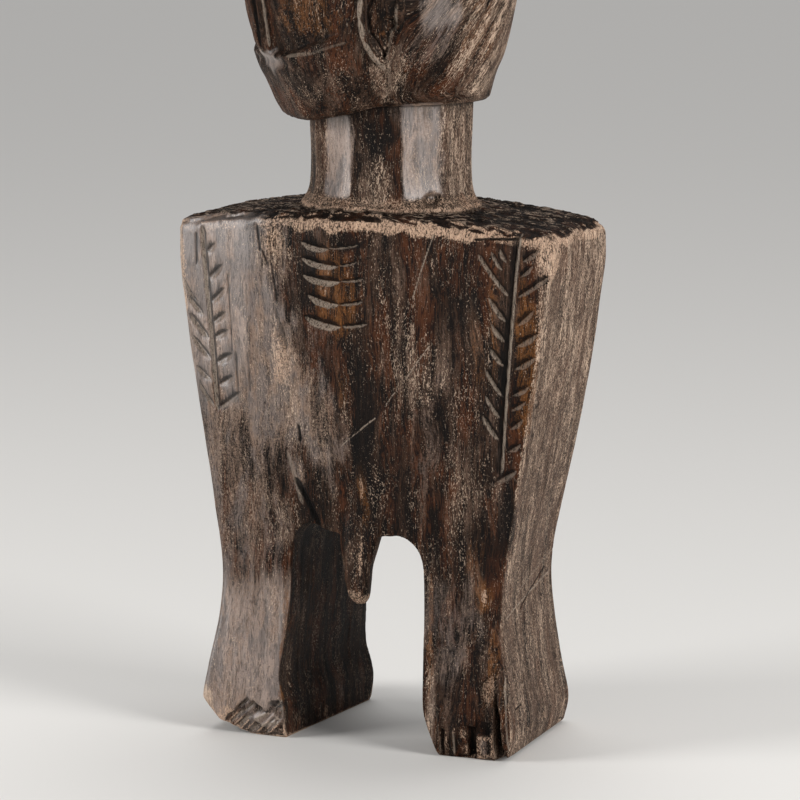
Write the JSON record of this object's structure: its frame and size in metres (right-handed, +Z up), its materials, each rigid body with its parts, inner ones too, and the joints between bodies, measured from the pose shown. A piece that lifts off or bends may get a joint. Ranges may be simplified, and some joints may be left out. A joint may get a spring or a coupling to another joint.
{
  "type": "zande figure",
  "caption": "Standing carved wooden figure with a block body, no arms, two block legs under an arch, a round neck and a large turned head.",
  "frame": {"origin": "on the floor under the middle of the bounding box", "axes": "+Z up, -Y the way the chest faces, +X towards the figure's left arm side"},
  "size_m": [0.1332, 0.0932, 0.305],
  "materials": {
    "wood": "satin"
  },
  "bodies": {
    "root": {"figure": "wood"}
  },
  "joints": []
}
